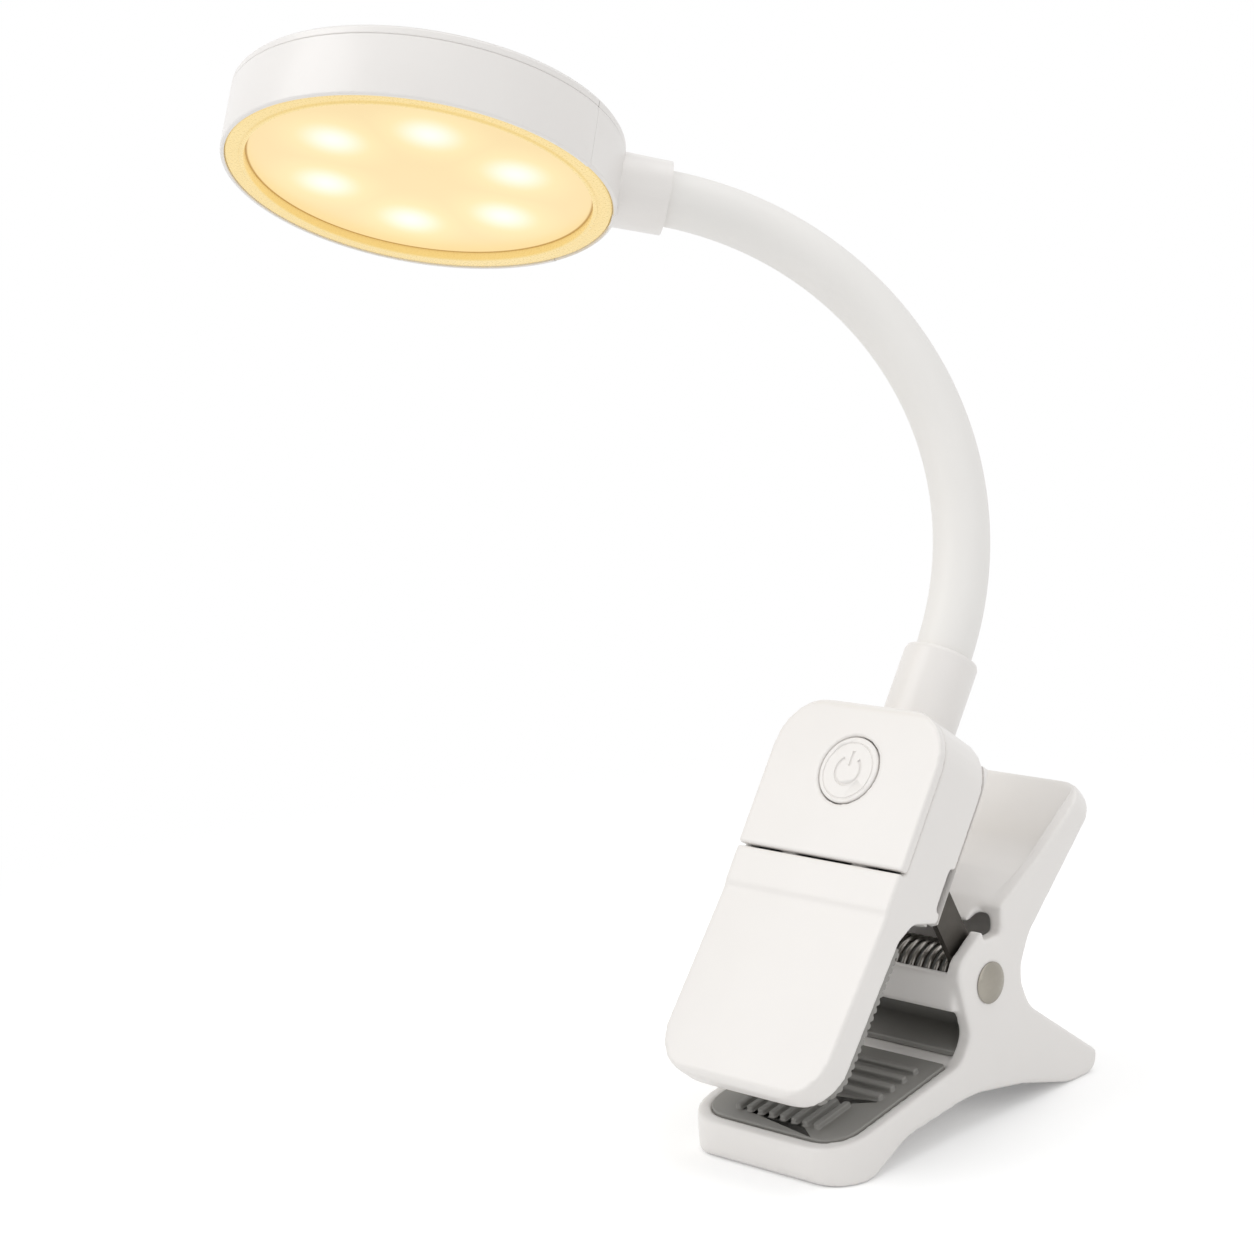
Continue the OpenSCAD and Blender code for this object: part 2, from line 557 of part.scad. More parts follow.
module neck_anchor() color("silver") in_neck() difference() {
    union() {
        translate([0, 0, -collar_h - collar_in - 1]) cylinder(r = sleeve_bore_r - seam, h = collar_h + collar_in + 0.8);
        translate([0, 0, -collar_h - collar_in - seam - 1.6]) cylinder(r = 3.9, h = 1.6);
        translate([0, 0, -1]) cylinder(r = stem_r, h = link_l / 2 - ball_r + 0.6);
        core_socket(link_l / 2);
    }
    lead_bore(0);
}
module head_anchor() color("silver") in_link(joints) difference() {
    union() {
        sphere(r = ball_r);
        cylinder(r = stem_r, h = link_l / 2 + head_collar_h);
        translate([0, 0, link_l / 2 + 0.4]) cylinder(r = 3.2, h = head_collar_h + 1);
    }
    lead_bore(0);
}

// --- head ---
// The sector of the head that the saddle fills, as a prism reaching past the rim
module saddle_sector(r0, grow) difference() {
    linear_extrude(60, center = true) polygon([[0, 0], for (a = [-saddle_half - grow, -saddle_half / 2, 0,
        saddle_half / 2, saddle_half + grow]) 2 * head_r * [cos(a), sin(a)]]);
    cylinder(r = r0, h = 80, center = true);
}
module ring_wall() rotate_extrude() polygon([[head_r - head_wall, bezel_t + 0.1 - half_t],
    [bezel_out + seam, bezel_t + 0.1 - half_t], [bezel_out + seam, -half_t + 0.5], [head_r - 0.5, -half_t],
    [head_r, -half_t + 0.5], [head_r, half_t - back_t], [head_r - head_wall, half_t - back_t]]);
module back_disc() rotate_extrude() polygon([[0, half_t - 1.6], [head_r - head_wall - 1, half_t - 1.6],
    [head_r - head_wall - 1, half_t - back_t - 1], [head_r - head_wall - 0.1, half_t - back_t - 1],
    [head_r - head_wall - 0.1, half_t - back_t + seam], [head_r, half_t - back_t + seam], [head_r, half_t - 1.1],
    [head_r - 0.5, half_t - 0.45], [head_r - 1.6, half_t], [0, half_t]]);
module head_ring() color("white") in_head() difference() {
    ring_wall();
    saddle_sector(1, 0.1);
}
module back_cover() color("white") in_head() {
    difference() {
        back_disc();
        saddle_sector(head_r - saddle_reach - 0.05, 0.1);
    }
    for (a = [60 : 120 : 300]) rotate(a) translate([post_ring_r, 0, 0]) difference() {
        translate([0, 0, board_z + board_t + seam]) cylinder(r = 2.2, h = half_t - 1.6 - board_z - board_t);
        translate([0, 0, board_z]) cylinder(r = 0.9, h = screw_l + 0.2);
    }
}
module head_saddle() color("white") in_head() difference() {
    union() {
        intersection() {
            union() {
                ring_wall();
                intersection() {
                    back_disc();
                    translate([0, 0, half_t]) cube([4 * head_r, 4 * head_r, 2 * back_t], center = true);
                }
            }
            saddle_sector(head_r - saddle_reach, 0);
        }
        difference() {
            translate([head_r - 4, 0, 0]) along_x() cylinder(r1 = collar_r + 0.2, r2 = collar_r, h = head_collar_h + 4);
            cylinder(r = head_r - head_wall + 0.4, h = 60, center = true);
            translate([0, 0, -20 - half_t + bezel_t + 0.1]) cylinder(r = bezel_out + seam, h = 20);
        }
    }
    translate([head_r + head_collar_h - sleeve_in, 0, 0]) along_x() cylinder(r = neck_r + seam, h = 20);
    along_x() cylinder(r = 3.3, h = 80);
}
module bezel() color("cornsilk") in_head() rotate_extrude() polygon([[bezel_in, -half_t + 0.3],
    [bezel_in + 0.5, -half_t], [bezel_out - 0.4, -half_t + 0.1], [bezel_out, -half_t + 0.5],
    [bezel_out, bezel_t - half_t], [bezel_in, bezel_t - half_t]]);
module diffuser() color("moccasin") in_head() translate([0, 0, bezel_t + seam - half_t])
    cylinder(r = head_r - head_wall - 0.2, h = diffuser_t);
module reflector() color("white") in_head() difference() {
    low = bezel_t + 2 * seam + diffuser_t - half_t;
    r = head_r - head_wall - 0.6;
    translate([0, 0, low]) cylinder(r = r, h = board_z - low - seam);
    translate([0, 0, low - 1]) cylinder(r1 = r - 0.6, r2 = r - 2.6, h = board_z - low - 0.6 - seam + 1);
    for (k = [0 : diodes - 1]) rotate(60 * k + 30) translate([led_ring_r, 0, -5]) cylinder(r = 2.6, h = 10);
    for (a = [60 : 120 : 300]) rotate(a) translate([post_ring_r, 0, -5]) cylinder(r = 1.9, h = 10);
}
module led_board() color("seagreen") in_head() difference() {
    translate([0, 0, board_z]) cylinder(r = head_r - head_wall - 1.4, h = board_t);
    for (a = [60 : 120 : 300]) rotate(a) translate([post_ring_r, 0, -5]) cylinder(r = 1, h = 10);
}
module light_diodes() color("lightyellow") in_head() for (k = [0 : diodes - 1]) rotate(60 * k + 30)
    translate([led_ring_r - diode.x / 2, -diode.y / 2, board_z - diode.z - seam]) cube(diode);
module board_screws() color("silver") in_head() for (a = [60 : 120 : 300]) rotate(a)
    translate([post_ring_r, 0, board_z - seam]) {
        cylinder(r = 0.85, h = screw_l);
        translate([0, 0, -0.8]) cylinder(r = 1.6, h = 0.8);
    }

lower_clip();
lower_pad();
throat_liner();
pivot_pin();
pin_cap();
spring_bush();
torsion_spring();
upper_body();
front_panel();
rear_cover();
rear_screws();
hinge_bracket();
jaw_plate();
upper_pad();
power_button();
tact_switch();
control_board();
charging_socket();
battery();
lower_collar();
neck_anchor();
neck_sleeve(0);  // neck_sleeve_0
neck_lead(0);  // neck_lead_0
neck_core(1);  // neck_core_1
neck_sleeve(1);  // neck_sleeve_1
neck_lead(1);  // neck_lead_1
neck_core(2);  // neck_core_2
neck_sleeve(2);  // neck_sleeve_2
neck_lead(2);  // neck_lead_2
neck_core(3);  // neck_core_3
neck_sleeve(3);  // neck_sleeve_3
neck_lead(3);  // neck_lead_3
neck_core(4);  // neck_core_4
neck_sleeve(4);  // neck_sleeve_4
neck_lead(4);  // neck_lead_4
neck_core(5);  // neck_core_5
neck_sleeve(5);  // neck_sleeve_5
neck_lead(5);  // neck_lead_5
neck_core(6);  // neck_core_6
neck_sleeve(6);  // neck_sleeve_6
neck_lead(6);  // neck_lead_6
neck_core(7);  // neck_core_7
neck_sleeve(7);  // neck_sleeve_7
neck_lead(7);  // neck_lead_7
neck_core(8);  // neck_core_8
neck_sleeve(8);  // neck_sleeve_8
neck_lead(8);  // neck_lead_8
head_anchor();
neck_sleeve(9);  // neck_sleeve_9
neck_lead(9);  // neck_lead_9
head_saddle();
head_ring();
back_cover();
bezel();
diffuser();
reflector();
led_board();
light_diodes();
board_screws();
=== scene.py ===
"""Clip-on reading lamp: visible pieces, finishes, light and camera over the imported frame."""
import json
import logging
import math
from dataclasses import dataclass, field
from enum import Enum

import bmesh
import bpy
import numpy as np
from mathutils import Matrix, Vector

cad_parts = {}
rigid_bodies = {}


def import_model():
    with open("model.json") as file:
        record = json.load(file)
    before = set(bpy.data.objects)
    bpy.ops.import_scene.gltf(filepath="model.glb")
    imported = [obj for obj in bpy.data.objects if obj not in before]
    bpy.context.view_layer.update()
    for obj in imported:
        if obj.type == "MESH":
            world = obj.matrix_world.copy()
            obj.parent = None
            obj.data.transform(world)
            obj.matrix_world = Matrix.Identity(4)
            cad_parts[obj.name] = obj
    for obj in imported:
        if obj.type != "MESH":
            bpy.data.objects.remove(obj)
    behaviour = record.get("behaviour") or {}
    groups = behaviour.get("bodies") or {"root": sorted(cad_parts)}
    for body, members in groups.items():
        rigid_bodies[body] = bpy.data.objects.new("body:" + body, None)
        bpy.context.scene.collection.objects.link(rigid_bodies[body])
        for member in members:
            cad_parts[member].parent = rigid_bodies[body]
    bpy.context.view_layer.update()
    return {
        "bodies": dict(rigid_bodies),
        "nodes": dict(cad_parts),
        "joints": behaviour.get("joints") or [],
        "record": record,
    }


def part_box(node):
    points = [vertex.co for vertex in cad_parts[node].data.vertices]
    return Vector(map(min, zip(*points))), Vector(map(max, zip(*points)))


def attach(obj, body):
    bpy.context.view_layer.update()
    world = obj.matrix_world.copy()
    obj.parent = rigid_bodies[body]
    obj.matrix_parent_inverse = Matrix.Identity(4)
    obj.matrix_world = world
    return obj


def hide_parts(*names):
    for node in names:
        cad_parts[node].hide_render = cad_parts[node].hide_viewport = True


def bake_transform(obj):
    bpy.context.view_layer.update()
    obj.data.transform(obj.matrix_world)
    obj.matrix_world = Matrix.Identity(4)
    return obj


LOG = logging.getLogger("lamp")
MM = 0.001


# ---------------------------------------------------------------- helpers
def srgb(code: str) -> tuple[float, float, float, float]:
    """Turns a hex colour into the linear colour the shaders take.

    Args:
        code: colour as "#RRGGBB".

    Returns:
        Linear red, green, blue and an alpha of 1.
    """
    parts = [int(code[k:k + 2], 16) / 255 for k in (1, 3, 5)]
    linear = [c / 12.92 if c <= 0.04045 else ((c + 0.055) / 1.055) ** 2.4 for c in parts]
    return (*linear, 1.0)


def add_node(tree: bpy.types.NodeTree, kind: str, links: dict | None = None,
             **settings) -> bpy.types.Node:
    """Adds one shader node.

    Args:
        tree: tree that gets the node.
        kind: the node's type name.
        links: input name or index to a constant, or to an output socket that feeds it.
        settings: attributes of the node itself.

    Returns:
        The new node.
    """
    node = tree.nodes.new(kind)
    for key, value in settings.items():
        setattr(node, key, value)
    for key, value in (links or {}).items():
        if isinstance(value, bpy.types.NodeSocket):
            tree.links.new(value, node.inputs[key])
        else:
            node.inputs[key].default_value = value
    return node


def deselect() -> None:
    """Leaves edit mode and deselects every object."""
    if bpy.context.object and bpy.context.object.mode != "OBJECT":
        bpy.ops.object.mode_set(mode="OBJECT")
    bpy.ops.object.select_all(action="DESELECT")


def activate(obj: bpy.types.Object) -> None:
    """Selects one object alone and makes it active."""
    deselect()
    obj.select_set(True)
    bpy.context.view_layer.objects.active = obj


def added(name: str) -> bpy.types.Object:
    """Names the object that an operator has just added."""
    obj = bpy.context.object
    obj.name = obj.data.name = name
    return obj


def edit(obj: bpy.types.Object, *steps) -> None:
    """Runs edit-mode operators on everything in a mesh.

    Args:
        obj: the mesh object.
        steps: calls without arguments, each one an operator.
    """
    activate(obj)
    bpy.ops.object.mode_set(mode="EDIT")
    bpy.ops.mesh.select_all(action="SELECT")
    for step in steps:
        step()
    bpy.ops.object.mode_set(mode="OBJECT")


def apply_all(obj: bpy.types.Object) -> None:
    """Applies every modifier of an object, in order."""
    activate(obj)
    for modifier in list(obj.modifiers):
        bpy.ops.object.modifier_apply(modifier=modifier.name)


def place(obj: bpy.types.Object, matrix: Matrix) -> None:
    """Moves a mesh by a matrix, leaving its object at the origin."""
    obj.data.transform(matrix)
    obj.matrix_world = Matrix.Identity(4)


def shade(obj: bpy.types.Object, degrees: float = 35) -> None:
    """Smooths the shading up to an angle between faces."""
    activate(obj)
    bpy.ops.object.shade_smooth_by_angle(angle=math.radians(degrees))


def curve_path(name: str, points: list, closed: bool = False) -> bpy.types.Object:
    """Adds a straight-segment curve through points.

    Args:
        name: its name.
        points: places it passes through.
        closed: whether its ends join.

    Returns:
        The curve, with capped ends and at the origin.
    """
    deselect()
    bpy.ops.curve.primitive_nurbs_path_add()
    obj = added(name)
    obj.location = (0, 0, 0)
    obj.data.splines.clear()
    spline = obj.data.splines.new("POLY")
    spline.points.add(len(points) - 1)
    for point, at in zip(spline.points, points):
        point.co = (*at, 1)
    spline.use_cyclic_u = closed
    obj.data.use_fill_caps = True
    obj.data.bevel_resolution = 3
    return obj


def finish_piece(obj: bpy.types.Object, body: str, finish: bpy.types.Material,
                 nodes: tuple = ()) -> None:
    """Dresses a piece, hides the CAD nodes it stands for and makes it ride on its body.

    Args:
        obj: the finished mesh.
        body: body it rides on.
        finish: its material.
        nodes: CAD nodes it stands for.
    """
    obj.data.materials.clear()
    obj.data.materials.append(finish)
    if nodes:
        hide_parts(*nodes)
    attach(obj, body)
    LOG.info("%s on %s, %d faces", obj.name, body, len(obj.data.polygons))


def fillet(points: list, radii: list, steps: int = 5) -> list:
    """Rounds the corners of a closed outline.

    Args:
        points: corners in order, two numbers each.
        radii: rounding of each corner, 0 for a sharp one.
        steps: straight pieces in each rounding.

    Returns:
        The rounded outline's points.
    """
    out = []
    for k, point in enumerate(points):
        b = Vector(point)
        u = (Vector(points[k - 1]) - b).normalized()
        w = (Vector(points[(k + 1) % len(points)]) - b).normalized()
        half = u.angle(w) / 2
        if not radii[k]:
            out.append(tuple(b))
            continue
        centre = b + (u + w).normalized() * radii[k] / math.sin(half)
        start = b + u * radii[k] / math.tan(half) - centre
        end = b + w * radii[k] / math.tan(half) - centre
        turn = math.atan2(start.x * end.y - start.y * end.x, start.dot(end))
        out += [tuple(centre + Matrix.Rotation(turn * i / steps, 2) @ start) for i in range(steps + 1)]
    return out


# ---------------------------------------------------------------- finishes
@dataclass(frozen=True)
class Moulded:
    """Injection-moulded plastic or rubber: soft cloudy tone and a spark-eroded grain."""
    name: str
    colour: str
    shade: str
    roughness: float
    grain_mm: float
    grain_depth: float
    spread: float = 0.06
    coat: float = 0.0
    glow: float = 0.0

    def build(self) -> bpy.types.Material:
        """Returns the material."""
        mat = bpy.data.materials.new(self.name)
        mat.use_nodes = True
        tree = mat.node_tree
        shader = tree.nodes["Principled BSDF"]
        where = add_node(tree, "ShaderNodeTexCoord").outputs["Object"]
        cloud = add_node(tree, "ShaderNodeTexNoise", {"Vector": where, "Scale": 1 / (22 * MM),
                                                      "Detail": 3.0})
        tone = add_node(tree, "ShaderNodeMix", {"Factor": cloud.outputs["Fac"], 6: srgb(self.colour),
                                                7: srgb(self.shade)}, data_type="RGBA")
        tree.links.new(tone.outputs[2], shader.inputs["Base Color"])
        grain = add_node(tree, "ShaderNodeTexNoise", {"Vector": where, "Scale": 1 / (self.grain_mm * MM),
                                                      "Detail": 2.0, "Roughness": 0.6})
        rough = add_node(tree, "ShaderNodeMapRange", {"Value": grain.outputs["Fac"],
                                                      "To Min": self.roughness - self.spread,
                                                      "To Max": self.roughness + self.spread})
        tree.links.new(rough.outputs["Result"], shader.inputs["Roughness"])
        bump = add_node(tree, "ShaderNodeBump", {"Height": grain.outputs["Fac"], "Strength": 0.5,
                                                 "Distance": self.grain_depth * MM})
        tree.links.new(bump.outputs["Normal"], shader.inputs["Normal"])
        shader.inputs["IOR"].default_value = 1.5
        shader.inputs["Coat Weight"].default_value = self.coat
        shader.inputs["Coat Roughness"].default_value = 0.15
        if self.glow:
            tree.links.new(tone.outputs[2], shader.inputs["Emission Color"])
            shader.inputs["Emission Strength"].default_value = self.glow
        return mat


@dataclass(frozen=True)
class Metal:
    """Plated or drawn metal: a fine satin bump and a roughness that wanders."""
    name: str
    colour: str
    shade: str
    roughness: float
    grain_mm: float
    grain_depth: float

    def build(self) -> bpy.types.Material:
        """Returns the material."""
        mat = bpy.data.materials.new(self.name)
        mat.use_nodes = True
        tree = mat.node_tree
        shader = tree.nodes["Principled BSDF"]
        shader.inputs["Metallic"].default_value = 1.0
        where = add_node(tree, "ShaderNodeTexCoord").outputs["Object"]
        cloud = add_node(tree, "ShaderNodeTexNoise", {"Vector": where, "Scale": 1 / (4 * MM), "Detail": 4.0})
        tone = add_node(tree, "ShaderNodeMix", {"Factor": cloud.outputs["Fac"], 6: srgb(self.colour),
                                                7: srgb(self.shade)}, data_type="RGBA")
        tree.links.new(tone.outputs[2], shader.inputs["Base Color"])
        rough = add_node(tree, "ShaderNodeMapRange", {"Value": cloud.outputs["Fac"],
                                                      "To Min": self.roughness - 0.08,
                                                      "To Max": self.roughness + 0.08})
        tree.links.new(rough.outputs["Result"], shader.inputs["Roughness"])
        grain = add_node(tree, "ShaderNodeTexNoise", {"Vector": where, "Scale": 1 / (self.grain_mm * MM)})
        bump = add_node(tree, "ShaderNodeBump", {"Height": grain.outputs["Fac"], "Strength": 0.4,
                                                 "Distance": self.grain_depth * MM})
        tree.links.new(bump.outputs["Normal"], shader.inputs["Normal"])
        return mat


@dataclass(frozen=True)
class Glow:
    """Lit opal sheet: a peach field with warm halos over the diodes behind it."""
    name: str
    field_colour: str
    halo: str
    core: str
    ring: float
    count: int
    turn: float
    radius: float
    lip: float
    edge: str = "#F6DAA0"

    def build(self) -> bpy.types.Material:
        """Returns the material, patterned on the piece's own UV map in metres from its centre."""
        mat = bpy.data.materials.new(self.name)
        mat.use_nodes = True
        tree = mat.node_tree
        shader = tree.nodes["Principled BSDF"]
        where = add_node(tree, "ShaderNodeUVMap", uv_map="sheet").outputs["UV"]
        # Widths are shares of the sheet's width: the halo is about 15 mm in radius, the core about 8 mm
        widths = {"halo": 0.2, "core": 0.11}
        total = {}
        for k in range(self.count):
            a = self.turn + 2 * math.pi * k / self.count
            out = self.ring / self.radius / 2
            spot = (0.5 + out * math.cos(a), 0.5 + out * math.sin(a), 0)
            gap = add_node(tree, "ShaderNodeVectorMath", {0: where, 1: spot},
                           operation="DISTANCE").outputs["Value"]
            for zone, width in widths.items():
                near = add_node(tree, "ShaderNodeMapRange",
                                {"Value": gap, "From Min": 0.0, "From Max": width,
                                 "To Min": 1.0, "To Max": 0.0},
                                interpolation_type="SMOOTHSTEP").outputs["Result"]
                if zone in total:
                    near = add_node(tree, "ShaderNodeMath", {0: total[zone], 1: near},
                                    operation="MAXIMUM").outputs[0]
                total[zone] = near
        edge = add_node(tree, "ShaderNodeVectorMath", {0: where, 1: (0.5, 0.5, 0)}, operation="DISTANCE")
        rim = add_node(tree, "ShaderNodeMapRange",
                       {"Value": edge.outputs["Value"], "From Min": 0.30, "From Max": 0.46},
                       interpolation_type="SMOOTHSTEP")
        base = add_node(tree, "ShaderNodeMix", {"Factor": rim.outputs["Result"],
                                                6: srgb(self.field_colour),
                                                7: srgb(self.edge)}, data_type="RGBA")
        warm = add_node(tree, "ShaderNodeMix", {"Factor": total["halo"], 6: base.outputs[2],
                                                7: srgb(self.halo)}, data_type="RGBA")
        white = add_node(tree, "ShaderNodeMix", {"Factor": total["core"], 6: warm.outputs[2],
                                                 7: srgb(self.core)}, data_type="RGBA")
        # A painted hairline of shade where the sheet goes under the bezel's lip
        lip_shade_mask = add_node(tree, "ShaderNodeMapRange", {"Value": edge.outputs["Value"],
                                                       "From Min": self.lip / self.radius / 2 - 0.0075,
                                                       "From Max": self.lip / self.radius / 2 - 0.0035})
        lip_shaded = add_node(tree, "ShaderNodeMix", {"Factor": lip_shade_mask.outputs["Result"], 6: white.outputs[2],
                                                 7: srgb("#B98F4C")}, data_type="RGBA")
        tree.links.new(lip_shaded.outputs[2], shader.inputs["Emission Color"])
        shader.inputs["Emission Strength"].default_value = 0.93
        shader.inputs["Base Color"].default_value = srgb("#3A342A")
        shader.inputs["Roughness"].default_value = 0.35
        return mat


class Finish(Enum):
    """Every finish on the lamp."""
    # Satin ABS: warm white, soft highlight, barely visible spark-eroded grain
    ABS = Moulded("satin_abs", "#EAE7E4", "#E3E0DD", 0.34, 0.35, 0.006, coat=0.12)
    # Silicone skin of the neck: slightly duller and softer than the ABS
    SLEEVE = Moulded("silicone_sleeve", "#ECEAE7", "#E6E4E1", 0.46, 0.5, 0.008)
    # Ribbed grip rubber: charcoal with a dry sheen; its grain is drawn coarser than real so that it shows
    RUBBER = Moulded("grip_rubber", "#96948F", "#858380", 0.55, 0.45, 0.03)
    # Cream polycarbonate bezel lit from inside
    BEZEL = Moulded("lit_polycarbonate", "#EDD490", "#E9CC82", 0.28, 0.4, 0.0004, glow=0.2, coat=0.3)
    ACETAL = Moulded("acetal", "#B7B7B4", "#ABABA8", 0.4, 0.5, 0.005)
    FIBREGLASS = Moulded("solder_mask", "#2D6A45", "#275E3D", 0.35, 0.8, 0.01)
    PVC = Moulded("pvc_lead", "#A33232", "#8F2A2A", 0.4, 0.5, 0.005)
    REFLECTOR = Moulded("white_reflector", "#F4F3EF", "#EDECE8", 0.5, 0.4, 0.004)
    PHOSPHOR = Moulded("phosphor", "#F3E07A", "#E9D260", 0.5, 0.3, 0.004, glow=0.5)
    # Satin nickel of the hinge pin: soft broad highlight
    NICKEL = Metal("satin_nickel", "#A8A399", "#928D84", 0.34, 0.25, 0.004)
    # Drawn spring wire: darker, with a tighter gloss
    SPRING = Metal("spring_wire", "#A9A6A1", "#8A8782", 0.27, 0.2, 0.004)
    ZINC = Metal("zinc_plate", "#5F5B56", "#4B4844", 0.42, 0.4, 0.006)
    FOIL = Metal("pouch_foil", "#AEB4BC", "#A2A8B0", 0.38, 0.9, 0.02)


# ---------------------------------------------------------------- lamp
@dataclass
class Kit:
    """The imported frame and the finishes, shared by the sub-assemblies."""
    frame: dict
    mats: dict = field(default_factory=dict)

    def __post_init__(self) -> None:
        """Builds the finishes and the node-to-body table."""
        self.mats = {f: f.value.build() for f in Finish}
        self.home = {n: b for b, ns in self.frame["record"]["behaviour"]["bodies"].items() for n in ns}
        self.slots = {s["node"]: s["material_slot"] for s in self.frame["record"]["subparts"]}

    def axis(self, name: str, key: str = "pos_m") -> Vector:
        """Returns the place of a joint in metres, or its direction with the key "axis"."""
        found = [j for j in self.frame["record"]["behaviour"]["joints"] if j["name"] == name]
        return Vector(found[0][key])

    def copied(self, node: str) -> bpy.types.Object:
        """Returns a copy of a CAD node with its doubled points merged."""
        obj = bpy.data.objects.new(node + "_skin", self.frame["nodes"][node].data.copy())
        bpy.context.scene.collection.objects.link(obj)
        edit(obj, lambda: bpy.ops.mesh.remove_doubles(threshold=2e-6))
        return obj

    def worked(self, node: str, finish: Finish, round_mm: float, steps: int = 3,
               angle: float = 38) -> bpy.types.Object:
        """Makes a rounded piece from a merged copy of a CAD node.

        Args:
            node: the CAD node.
            finish: what it is made of.
            round_mm: width of the rounding on its edges.
            steps: segments of the rounding.
            angle: least angle between faces that gets rounded.

        Returns:
            The finished piece.
        """
        obj = self.copied(node)
        edit(obj, lambda: bpy.ops.mesh.dissolve_limited(angle_limit=math.radians(0.6)))
        if round_mm:
            bevel = obj.modifiers.new("edge", "BEVEL")
            bevel.width = round_mm * MM
            bevel.segments = steps
            bevel.limit_method = "ANGLE"
            bevel.angle_limit = math.radians(angle)
            bevel.use_clamp_overlap = True
            bevel.harden_normals = False
            bevel.miter_outer = "MITER_ARC"
        weighted = obj.modifiers.new("normals", "WEIGHTED_NORMAL")
        weighted.keep_sharp = True
        shade(obj, 40)
        apply_all(obj)
        finish_piece(obj, self.home[node], self.mats[finish], (node,))
        return obj

    def softened(self, node: str, finish: Finish, grid_mm: float, passes: int,
                 keep: float) -> bpy.types.Object:
        """Makes a piece with soft moulded edges from an evenly meshed copy of a CAD node.

        Args:
            node: the CAD node.
            finish: what it is made of.
            grid_mm: spacing of the even mesh.
            passes: smoothing passes; more of them give a rounder edge.
            keep: share of the faces kept at the end.

        Returns:
            The finished piece.
        """
        obj = self.copied(node)
        even = obj.modifiers.new("even", "REMESH")
        even.mode = "VOXEL"
        even.voxel_size = grid_mm * MM
        soft = obj.modifiers.new("soft", "SMOOTH")
        soft.factor = 0.5
        soft.iterations = passes
        thin = obj.modifiers.new("thin", "DECIMATE")
        thin.ratio = keep
        apply_all(obj)
        shade(obj, 60)
        finish_piece(obj, self.home[node], self.mats[finish], (node,))
        return obj

    def dress(self, finish: Finish, *nodes: str) -> None:
        """Gives CAD nodes that stay as they are a finish."""
        for node in nodes:
            mesh = self.frame["nodes"][node].data
            mesh.materials.clear()
            mesh.materials.append(self.mats[finish])


@dataclass
class Clip:
    """The spring clip: both jaws, pads, pin and spring."""
    kit: Kit
    coil_radius: float = 5.5 * MM
    wire: float = 1.1 * MM
    turns: int = 13
    leg: float = 12.6 * MM
    first_deg: float = 45
    last_deg: float = -26.4
    steps: int = 28

    def build(self) -> None:
        """Builds every piece of the clip."""
        kit = self.kit
        kit.softened("lower_clip", Finish.ABS, 0.4, 20, 0.35)
        kit.worked("lower_pad", Finish.RUBBER, 0.3, 2)
        kit.worked("upper_pad", Finish.RUBBER, 0.0)
        kit.worked("throat_liner", Finish.RUBBER, 0.25, 2)
        kit.worked("pivot_pin", Finish.NICKEL, 0.15, 2)
        kit.worked("pin_cap", Finish.NICKEL, 0.15, 2)
        kit.worked("hinge_bracket", Finish.ZINC, 0.2, 2)
        kit.dress(Finish.ACETAL, "spring_bush")
        self.spring()

    def spring(self) -> None:
        """Winds the torsion spring with a leg at its start and a short stub at its end."""
        kit = self.kit
        pivot = kit.axis("clip_hinge")
        low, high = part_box("torsion_spring")
        half = (high.x - low.x) / 2 - self.wire / 2
        first = math.radians(self.first_deg)
        span = 2 * math.pi * (self.turns + 1) + math.radians(self.last_deg) - first
        tip = Vector((-half, self.coil_radius * math.cos(first), self.coil_radius * math.sin(first)))
        path = [tip + Vector((0, -math.sin(first), math.cos(first))) * self.leg]
        count = self.steps * self.turns
        for k in range(count + 1):
            a = first - span * k / count
            path.append(Vector((-half + 2 * half * k / count, self.coil_radius * math.cos(a),
                                self.coil_radius * math.sin(a))))
        a = first - span
        path.append(path[-1] + Vector((0, math.sin(a), -math.cos(a))) * 0.2 * MM)
        obj = curve_path("spring_coil", [at + pivot for at in path])
        obj.data.bevel_depth = self.wire / 2
        obj.data.twist_mode = "MINIMUM"
        activate(obj)
        bpy.ops.object.convert(target="MESH")
        shade(obj, 50)
        finish_piece(obj, "base", kit.mats[Finish.SPRING],
                     ("torsion_spring",))


